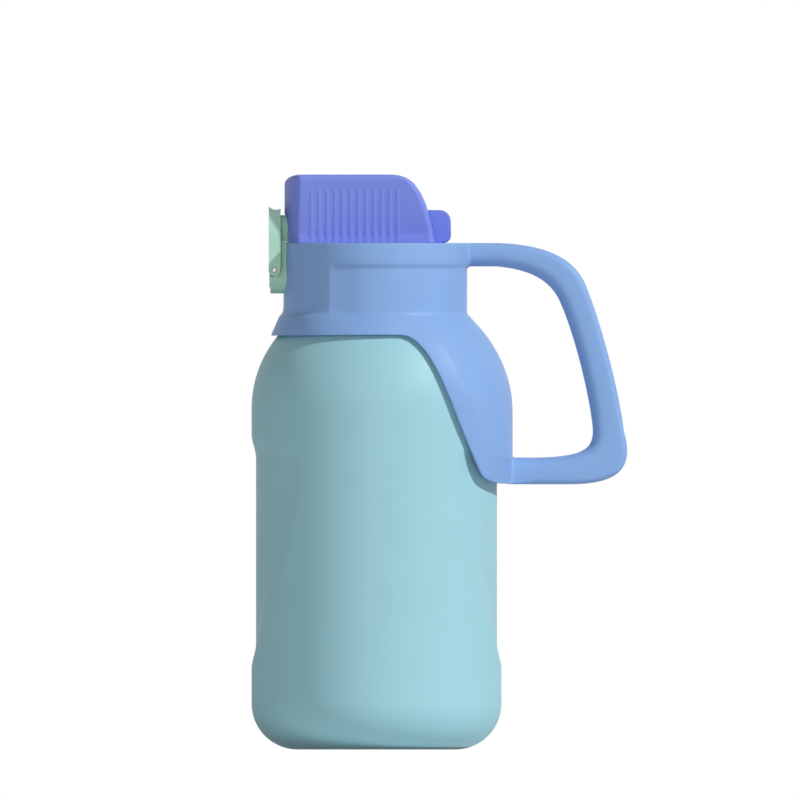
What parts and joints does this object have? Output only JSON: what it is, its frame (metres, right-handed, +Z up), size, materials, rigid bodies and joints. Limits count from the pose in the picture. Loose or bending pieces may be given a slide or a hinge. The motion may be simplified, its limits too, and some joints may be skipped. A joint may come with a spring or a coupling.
{
  "type": "insulated water jug",
  "caption": "Large insulated water jug with a D-shaped handle sleeve, a ribbed flip cap over the drinking spout and a swing latch that holds the cap shut.",
  "frame": {"origin": "centre of the foot ring, on the surface that the jug stands on", "axes": "+Z up along the bottle axis, +X towards the handle, -X towards the latch"},
  "size_m": [0.1879, 0.125, 0.2875],
  "materials": {
    "shell_coat": "matte powder coat",
    "steel": "brushed",
    "sleeve_plastic": "satin moulded",
    "cap_plastic": "satin moulded",
    "lid_plastic": "satin moulded",
    "latch_plastic": "satin moulded",
    "spout_plastic": "polished",
    "silicone": "soft matte"
  },
  "bodies": {
    "jug": {"outer_shell": "shell_coat", "inner_liner": "steel", "base_plate": "steel", "vacuum_getter": "steel", "handle_sleeve": "sleeve_plastic", "neck_gasket": "silicone", "latch_bracket": "latch_plastic", "bracket_screws": "steel", "latch_pin": "steel"},
    "lid": {"lid_base": "lid_plastic", "mouth_seal": "silicone", "drinking_spout": "spout_plastic", "spout_gasket": "silicone", "hinge_pin": "steel"},
    "cap": {"flip_cap": "cap_plastic", "spout_seal": "silicone", "cap_keeper": "latch_plastic", "keeper_screws": "steel"},
    "lever": {"latch_lever": "latch_plastic"}
  },
  "joints": [
    {"name": "lid_lift", "type": "slide", "parent": "jug", "child": "lid", "axis": [0, 0, 1], "range_m": [0, 0.04]},
    {"name": "cap_hinge", "type": "hinge", "parent": "lid", "child": "cap", "pos_m": [0.03175, 0, 0.262], "axis": [0, 1, 0], "range_deg": [0, 120]},
    {"name": "lever_pivot", "type": "hinge", "parent": "jug", "child": "lever", "pos_m": [-0.05105, 0, 0.23955], "axis": [0, -1, 0], "range_deg": [0, 95]}
  ]
}
